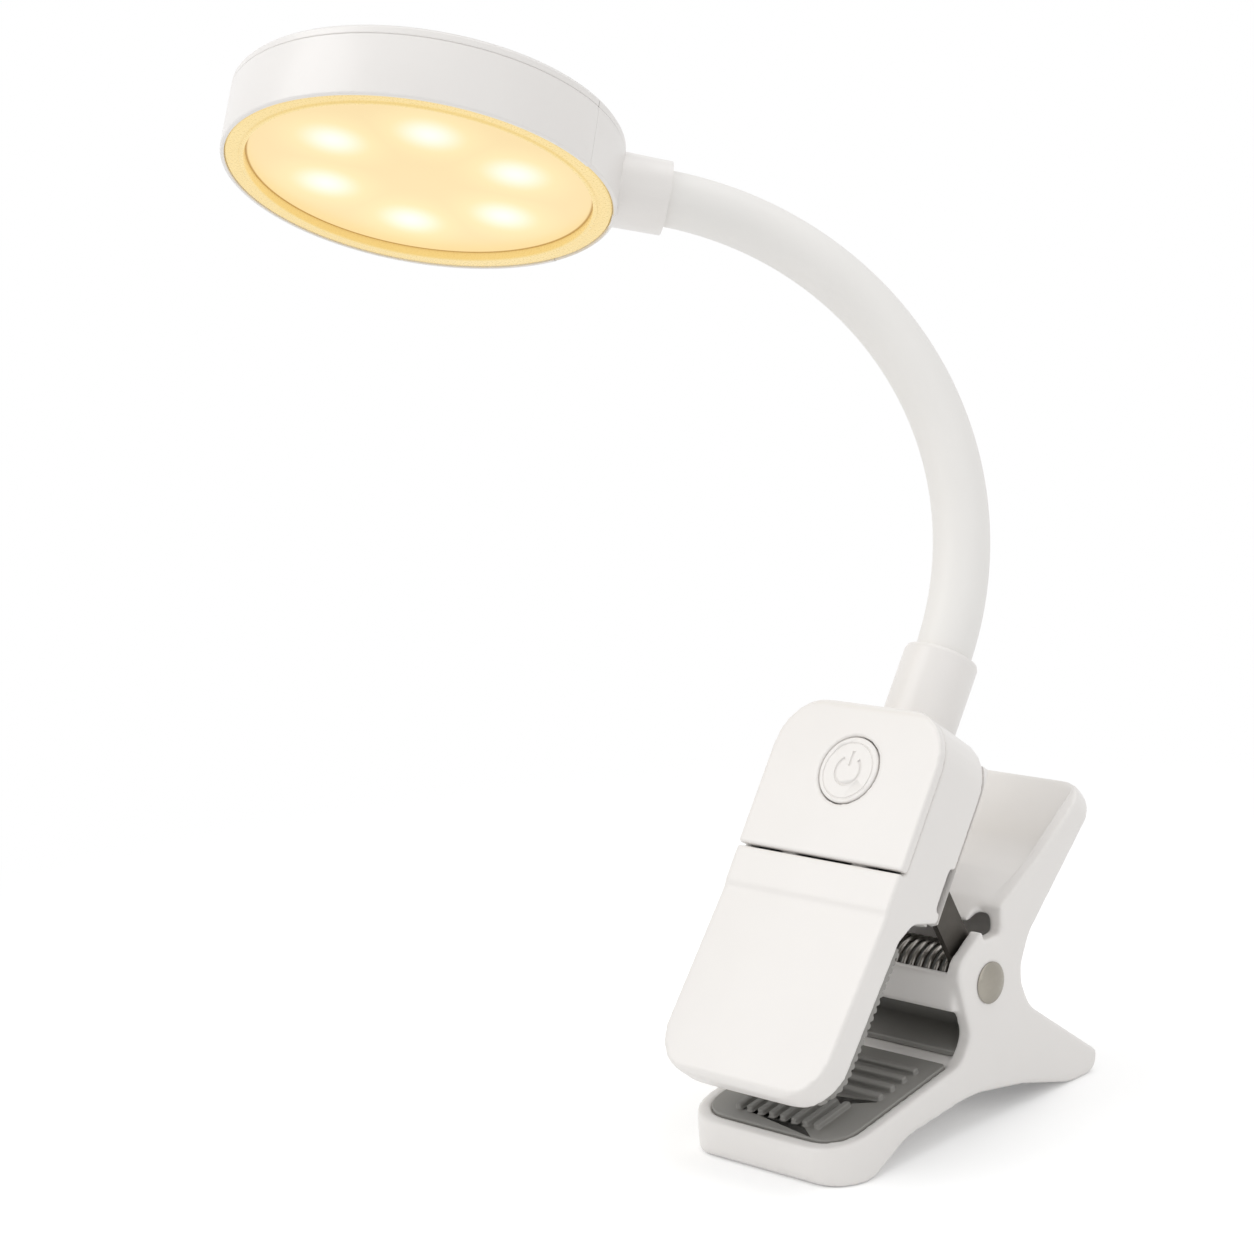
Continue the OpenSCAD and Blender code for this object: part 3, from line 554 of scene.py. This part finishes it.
@dataclass
class Housing:
    """The battery housing with its panel, cover, jaw and button."""
    kit: Kit
    sign_radius: float = 2.7 * MM
    sign_groove: float = 0.32 * MM
    sign_from: float = 125
    sign_sweep: float = 290
    bar_from: float = 0.9 * MM
    bar_to: float = 3.7 * MM
    rim_radius: float = 5.3 * MM
    rim_groove: float = 0.16 * MM
    steps: int = 48

    def build(self) -> None:
        """Builds every piece of the housing."""
        kit = self.kit
        kit.softened("upper_body", Finish.ABS, 0.4, 14, 0.35)
        kit.softened("front_panel", Finish.ABS, 0.3, 16, 0.4)
        kit.worked("rear_cover", Finish.ABS, 0.5, 3)
        kit.worked("jaw_plate", Finish.ABS, 0.25, 2)
        kit.worked("lower_collar", Finish.ABS, 0.5, 3)
        kit.dress(Finish.NICKEL, "rear_screws", "charging_socket", "tact_switch")
        kit.dress(Finish.FIBREGLASS, "control_board")
        kit.dress(Finish.FOIL, "battery")
        self.button()

    def button(self) -> None:
        """Makes the round button with its engraved rim and power sign."""
        kit = self.kit
        into = kit.axis("button_press", "axis").normalized()
        low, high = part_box("power_button")
        middle = (low + high) / 2
        # The grooves are cut into the face that the finger meets
        reach = max((v.co - middle).dot(-into) for v in kit.frame["nodes"]["power_button"].data.vertices)
        across = Vector((1, 0, 0))
        frame = Matrix((across, across.cross(into), -into)).transposed().to_4x4()
        frame.translation = middle - into * reach
        obj = kit.worked("power_button", Finish.ABS, 0.3, 4)
        cuts = [curve_path("cut_ring", self.arc(self.sign_radius, self.sign_from, self.sign_sweep)),
                curve_path("cut_rim", self.arc(self.rim_radius, 0, 360)[:-1], closed=True),
                curve_path("cut_bar", [(0, self.bar_from, 0), (0, self.bar_to, 0)])]
        for cut in cuts:
            cut.data.dimensions = "3D"
            cut.data.bevel_depth = self.rim_groove if cut.name == "cut_rim" else self.sign_groove
            activate(cut)
            bpy.ops.object.convert(target="MESH")
            place(cut, frame)
            carve = obj.modifiers.new("carve", "BOOLEAN")
            carve.operation = "DIFFERENCE"
            carve.solver = "EXACT"
            carve.object = cut
        apply_all(obj)
        for cut in cuts:
            bpy.data.objects.remove(cut, do_unlink=True)
        shade(obj, 40)

    def arc(self, radius: float, start: float, sweep: float) -> list:
        """Returns points along a flat arc whose start and sweep are in degrees."""
        turns = [math.radians(start + sweep * k / self.steps) for k in range(self.steps + 1)]
        return [(radius * math.cos(a), radius * math.sin(a), 0) for a in turns]


@dataclass
class Neck:
    """The bending neck: one skin piece over each joint, from middle to middle of its links."""
    kit: Kit
    radius: float = 5.3 * MM
    wall: float = 0.5 * MM
    tuck: float = 4.6 * MM
    sides: int = 64
    steps: int = 14
    links: int = 8

    def build(self) -> None:
        """Builds the skin pieces and dresses the core behind them."""
        kit = self.kit
        bend = [j for j in kit.frame["record"]["behaviour"]["joints"] if j["name"].startswith("neck_")]
        bodies = ["housing"] + ["neck_link_%d" % k for k in range(1, self.links + 1)] + ["head"]
        place_of = {j["child"]: Vector(j["pos_m"]) for j in bend}
        knots = [place_of[b] for b in bodies[1:]]
        middles = [(a + b) / 2 for a, b in zip(knots, knots[1:])]
        reach = (middles[0] - knots[0]).length
        ends = [knot - self.direction(node, knot) * reach
                for node, knot in (("neck_sleeve_0", knots[0]), ("neck_sleeve_9", knots[-1]))]
        stops = [ends[0]] + middles + [ends[1]]
        for k, knot in enumerate(knots):
            self.piece(k, stops[k], knot, stops[k + 1], bodies[k], bodies[k + 1])
            kit.dress(Finish.PVC, "neck_lead_%d" % k)
        kit.dress(Finish.ZINC, *("neck_core_%d" % k for k in range(1, self.links + 1)))
        kit.dress(Finish.PVC, "neck_lead_%d" % (self.links + 1))
        kit.dress(Finish.ZINC, "neck_anchor", "head_anchor")

    def direction(self, node: str, knot: Vector) -> Vector:
        """Returns the unit direction from the middle of a sleeve to a joint on its axis."""
        low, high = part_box(node)
        return (knot - (low + high) / 2).normalized()

    def piece(self, k: int, a: Vector, knot: Vector, b: Vector, one: str, two: str) -> None:
        """Makes one skin piece along a smooth arc.

        Args:
            k: number of the joint, from 0.
            a: start of the piece.
            knot: the joint.
            b: end of the piece.
            one: body before the joint.
            two: body after the joint.
        """
        line = []
        if k == 0:
            line.append((a + (a - knot).normalized() * self.tuck, (knot - a).normalized()))
        for i in range(self.steps + 1):
            t = i / self.steps
            at = a * (1 - t) ** 2 + knot * 2 * t * (1 - t) + b * t ** 2
            line.append((at, ((knot - a) * (1 - t) + (b - knot) * t).normalized()))
        if k == self.links:
            line.append((b + (b - knot).normalized() * self.tuck, (b - knot).normalized()))
        side = (knot - a).cross(b - knot).normalized()
        rings = []
        for radius, order in ((self.radius, line), (self.radius - self.wall, line[::-1])):
            for at, way in order:
                up = way.cross(side)
                rings.append([at + (side * math.cos(t) + up * math.sin(t)) * radius
                              for t in (2 * math.pi * s / self.sides for s in range(self.sides))])
        deselect()
        bpy.ops.mesh.primitive_circle_add(vertices=self.sides, radius=self.radius)
        obj = added("neck_skin_%d" % (k + 1))
        mesh = bmesh.new()
        rows = [[mesh.verts.new(p) for p in ring] for ring in rings]
        for r, row in enumerate(rows):
            other = rows[(r + 1) % len(rows)]
            for s in range(self.sides):
                t = (s + 1) % self.sides
                mesh.faces.new((row[s], row[t], other[t], other[s]))
        bmesh.ops.recalc_face_normals(mesh, faces=mesh.faces)
        mesh.to_mesh(obj.data)
        mesh.free()
        shade(obj, 40)
        kit = self.kit
        obj.data.materials.clear()
        obj.data.materials.append(kit.mats[Finish.SLEEVE])
        nodes = ("neck_sleeve_0", "neck_sleeve_1") if k == 0 else ("neck_sleeve_%d" % (k + 1),)
        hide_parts(*nodes)
        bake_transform(obj)
        LOG.info("%s between %s and %s", obj.name, one, two)


@dataclass
class Head:
    """The round head: shell, saddle, bezel, lit sheet and the diode board behind it."""
    kit: Kit
    turns: int = 160
    outer: float = 37.0
    wall: float = 1.8
    lip: float = 32.55
    face: float = -2.35
    seat: float = -0.75
    shoulder: float = 9.35
    saddle_half: float = 38.1

    def __post_init__(self) -> None:
        """Finds the head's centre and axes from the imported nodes."""
        nodes = self.kit.frame["nodes"]
        disc = np.array([v.co for v in nodes["diffuser"].data.vertices])
        low, high = disc.min(0), disc.max(0)
        rim = disc - (low + high) / 2
        _, _, axes = np.linalg.svd(rim[np.linalg.norm(rim, axis=1) > 0.03], full_matrices=False)
        normal = Vector(axes[2])
        middle = Vector((low + high) / 2)
        board = np.array([v.co for v in nodes["led_board"].data.vertices])
        back = Vector((board.max(0) + board.min(0)) / 2) - middle
        if normal.dot(back) < 0:
            normal = -normal
        cup = self.kit.axis("neck_upper_bend_9") - middle
        along = (cup - normal * cup.dot(normal)).normalized()
        self.radius = float(np.linalg.norm(rim, axis=1).max())
        self.frame = Matrix((along, normal.cross(along), normal)).transposed().to_4x4()
        self.frame.translation = middle

    def lathe(self, name: str, outline: list, start: float = 0.0,
              sweep: float = 2 * math.pi) -> bpy.types.Object:
        """Spins an outline round the head's axis.

        Args:
            name: name of the piece.
            outline: closed outline as distances from the axis and heights, in mm.
            start: angle at which the sweep begins.
            sweep: how far it goes round.

        Returns:
            The spun piece, in its place on the head.
        """
        deselect()
        bpy.ops.mesh.primitive_circle_add(vertices=len(outline), radius=MM)
        obj = added(name)
        whole = sweep > 6.28
        for vertex, (r, z) in zip(obj.data.vertices, outline):
            vertex.co = Vector((r * math.cos(start), r * math.sin(start), z)) * MM
        steps = [lambda: bpy.ops.mesh.spin(steps=self.turns, angle=-sweep, center=(0, 0, 0), axis=(0, 0, 1),
                                           dupli=False)]
        if not whole:
            steps.append(lambda: bpy.ops.mesh.select_all(action="DESELECT"))
            steps.append(lambda: bpy.ops.mesh.select_non_manifold(extend=False))
            steps.append(lambda: bpy.ops.mesh.edge_face_add())
        steps += [lambda: bpy.ops.mesh.select_all(action="SELECT"),
                  lambda: bpy.ops.mesh.remove_doubles(threshold=2e-6),
                  lambda: bpy.ops.mesh.normals_make_consistent(inside=False)]
        edit(obj, *steps)
        return obj

    def build(self) -> None:
        """Builds every piece of the head."""
        kit = self.kit
        self.ring()
        kit.worked("head_saddle", Finish.ABS, 0.25, 2)
        kit.worked("back_cover", Finish.ABS, 0.35, 3)
        self.bezel()
        kit.dress(Finish.REFLECTOR, "reflector")
        kit.dress(Finish.FIBREGLASS, "led_board")
        kit.dress(Finish.PHOSPHOR, "light_diodes")
        kit.dress(Finish.NICKEL, "board_screws")
        self.sheet()

    def ring(self) -> None:
        """Spins the side wall, open where the saddle sits."""
        kit = self.kit
        inner, rim = self.outer - self.wall, self.outer - 0.8
        seat = self.seat + 0.1
        outline = fillet([(inner, seat), (rim, seat), (rim, self.face), (self.outer, self.face),
                          (self.outer, self.shoulder), (inner, self.shoulder)], [0, 0, 0.12, 0.5, 0.12, 0])
        open_angle = math.radians(self.saddle_half)
        obj = self.lathe("head_wall", outline, open_angle, 2 * math.pi - 2 * open_angle)
        place(obj, self.frame)
        shade(obj, 40)
        finish_piece(obj, "head", kit.mats[Finish.ABS], ("head_ring",))

    def bezel(self) -> None:
        """Spins the cream ring with its raised inner lip."""
        kit = self.kit
        rim = self.outer - 0.86
        outline = fillet([(self.lip, self.seat), (self.lip, self.face), (self.lip + 0.7, self.face),
                          (self.lip + 0.95, self.face + 0.3), (rim, self.face + 0.22), (rim, self.seat)],
                         [0, 0.25, 0.2, 0.1, 0.4, 0])
        obj = self.lathe("bezel_ring", outline)
        place(obj, self.frame)
        shade(obj, 50)
        finish_piece(obj, "head", kit.mats[Finish.BEZEL], ("bezel",))

    def sheet(self) -> None:
        """Makes the lit sheet with a map of its own for the glow."""
        r = self.radius / MM
        outline = fillet([(0.0, -0.7), (r, -0.7), (r, 0.7), (0.0, 0.7)], [0, 0.3, 0.3, 0])
        obj = self.lathe("lit_sheet", outline)
        layer = obj.data.uv_layers.new(name="sheet")
        for loop in obj.data.loops:
            at = obj.data.vertices[loop.vertex_index].co / self.radius / 2
            layer.data[loop.index].uv = (at.x + 0.5, at.y + 0.5)
        place(obj, self.frame)
        shade(obj, 35)
        glow = Glow("lit_opal_sheet", "#F6DCA3", "#FEEDB2", "#FFFFF4", 19.5 * MM, 6, math.radians(30),
                    self.radius, self.lip * MM)
        finish_piece(obj, "head", glow.build(), ("diffuser",))


@dataclass
class Studio:
    """Floor, light and camera."""
    lens_mm: float = 3000 / 1254 * 36
    eye: tuple = (0.33803, -0.37134, 0.1978)
    right: tuple = (0.719, 0.6918, -0.0666)
    up: tuple = (-0.0882, 0.1859, 0.9786)

    def build(self) -> None:
        """Builds the set."""
        scene = bpy.context.scene
        scene.view_settings.view_transform = "Standard"
        self.world(scene)
        self.floor()
        for name, at, size, power in (("key", (-0.45, -0.65, 0.75), 0.7, 3.1),
                                      ("fill", (0.9, -0.1, 0.5), 0.9, 0.9),
                                      ("top", (0.1, 0.25, 1.1), 0.8, 2.2)):
            self.lamp(name, at, size, power)
        self.camera(scene)

    def seen(self, tree: bpy.types.NodeTree) -> tuple:
        """Returns a light path node and the socket that is 1 for camera and glossy rays."""
        path = add_node(tree, "ShaderNodeLightPath")
        both = add_node(tree, "ShaderNodeMath", {0: path.outputs["Is Camera Ray"],
                                                 1: path.outputs["Is Glossy Ray"]}, operation="MAXIMUM")
        return path, both.outputs[0]

    def world(self, scene: bpy.types.Scene) -> None:
        """Lights the air evenly and shows white to the camera, gloss and glass."""
        scene.world = scene.world or bpy.data.worlds.new("studio")
        scene.world.use_nodes = True
        tree = scene.world.node_tree
        tree.nodes.clear()
        path, seen = self.seen(tree)
        seen = add_node(tree, "ShaderNodeMath", {0: seen, 1: path.outputs["Is Transmission Ray"]},
                        operation="MAXIMUM")
        dim = add_node(tree, "ShaderNodeBackground", {"Color": srgb("#FFFFFF"), "Strength": 0.72})
        white = add_node(tree, "ShaderNodeBackground", {"Color": srgb("#FFFFFF"), "Strength": 1.0})
        mix = add_node(tree, "ShaderNodeMixShader", {0: seen.outputs[0], 1: dim.outputs[0],
                                                     2: white.outputs[0]})
        add_node(tree, "ShaderNodeOutputWorld", {"Surface": mix.outputs[0]})

    def floor(self) -> None:
        """Lays the pale floor."""
        deselect()
        bpy.ops.mesh.primitive_plane_add(size=6, location=(0, 0, -0.0001))
        obj = added("floor")
        bpy.ops.object.transform_apply(location=True)
        mat = bpy.data.materials.new("matte_paper")
        mat.use_nodes = True
        tree = mat.node_tree
        shader = tree.nodes["Principled BSDF"]
        shader.inputs["Base Color"].default_value = srgb("#F4F4F4")
        shader.inputs["Roughness"].default_value = 0.9
        shader.inputs["Specular IOR Level"].default_value = 0.1
        seen = self.seen(tree)[1]
        lift = add_node(tree, "ShaderNodeMath", {0: seen, 1: 0.2}, operation="MULTIPLY")
        tree.links.new(lift.outputs[0], shader.inputs["Emission Strength"])
        shader.inputs["Emission Color"].default_value = srgb("#FFFFFF")
        # The paper fades to the white of the backdrop away from the lamp, and keeps the shadow under it
        where = add_node(tree, "ShaderNodeTexCoord").outputs["Object"]
        away = add_node(tree, "ShaderNodeVectorMath", {0: where}, operation="LENGTH").outputs["Value"]
        fade = add_node(tree, "ShaderNodeMapRange", {"Value": away, "From Min": 0.1, "From Max": 0.3},
                        interpolation_type="SMOOTHSTEP").outputs["Result"]
        share = add_node(tree, "ShaderNodeMath", {0: fade, 1: seen}, operation="MULTIPLY").outputs[0]
        white = add_node(tree, "ShaderNodeEmission", {"Color": srgb("#FFFFFF"), "Strength": 1.0})
        mix = add_node(tree, "ShaderNodeMixShader", {0: share, 1: shader.outputs[0], 2: white.outputs[0]})
        tree.links.new(mix.outputs[0], tree.nodes["Material Output"].inputs["Surface"])
        obj.data.materials.append(mat)

    def lamp(self, name: str, at: tuple, size: float, power: float) -> None:
        """Hangs one soft lamp aimed at the object.

        Args:
            name: its name.
            at: its place in metres.
            size: its width in metres.
            power: its power in watts.
        """
        light = bpy.data.lights.new(name, "AREA")
        light.size = size
        light.energy = power
        obj = bpy.data.objects.new(name, light)
        obj.location = at
        obj.rotation_euler = (Vector((0, 0, 0.08)) - Vector(at)).to_track_quat("-Z", "Y").to_euler()
        bpy.context.scene.collection.objects.link(obj)

    def camera(self, scene: bpy.types.Scene) -> None:
        """Sets the camera."""
        data = bpy.data.cameras.new("camera")
        data.lens = self.lens_mm
        data.sensor_width = 36
        data.clip_start, data.clip_end = 0.01, 50
        obj = bpy.data.objects.new("camera", data)
        right, up = Vector(self.right).normalized(), Vector(self.up).normalized()
        turn = Matrix((right, up, right.cross(up))).transposed().to_4x4()
        obj.matrix_world = Matrix.Translation(self.eye) @ turn
        scene.collection.objects.link(obj)
        scene.camera = obj


def main() -> None:
    """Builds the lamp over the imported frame."""
    logging.basicConfig(level=logging.INFO, format="%(name)s: %(message)s")
    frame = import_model()
    kit = Kit(frame)
    for part in (Clip(kit), Housing(kit), Neck(kit), Head(kit), Studio()):
        part.build()
    deselect()


if __name__ == "__main__":
    main()
